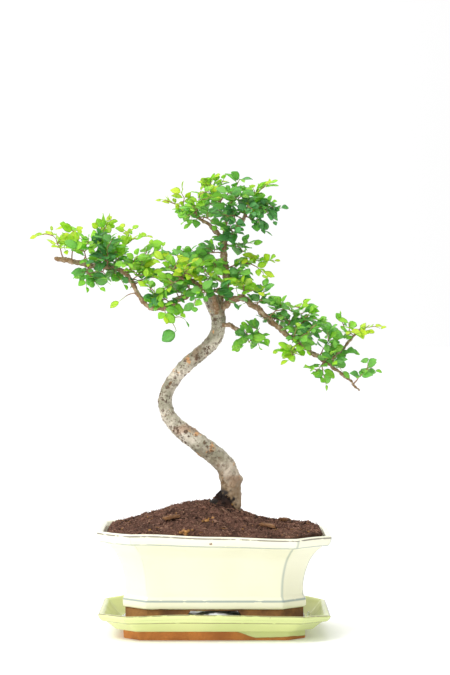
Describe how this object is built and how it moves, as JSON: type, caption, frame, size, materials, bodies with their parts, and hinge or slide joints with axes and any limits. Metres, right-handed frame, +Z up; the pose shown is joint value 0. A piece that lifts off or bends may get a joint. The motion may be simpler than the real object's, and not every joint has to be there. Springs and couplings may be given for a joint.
{
  "type": "potted bonsai tree",
  "caption": "Small elm bonsai with an S-shaped trunk and loose clouds of small leaves, in a cream-glazed rectangular pot with cut corners on a matching footed drip tray.",
  "frame": {"origin": "centre of the drip tray's flat underside, on the table", "axes": "+Z up along the trunk's rise, +X to the right as seen from the front, -Y towards the front"},
  "size_m": [0.3065, 0.155, 0.4042],
  "materials": {
    "tray_glaze": "pale yellow-green gloss glaze with a bare orange-brown plinth",
    "pot_glaze": "cream gloss glaze, broken dark along the rim, with a bare brown foot",
    "liner_paper": "white, crumpled",
    "screen_plastic": "matte black mesh",
    "potting_soil": "dark brown fibrous peaty soil",
    "wood_chip": "orange-brown bark chip",
    "bark_and_leaves": "pale grey-beige bark on the trunk, brown on the limbs, and small green to yellow-green leaves"
  },
  "bodies": {
    "root": {"bonsai_tree": "bark_and_leaves", "soil": "potting_soil", "wood_chip_1": "wood_chip", "wood_chip_2": "wood_chip", "wood_chip_3": "wood_chip", "pot": "pot_glaze", "drain_screen_left": "screen_plastic", "drain_screen_right": "screen_plastic", "liner": "liner_paper", "drip_tray": "tray_glaze"}
  },
  "joints": []
}
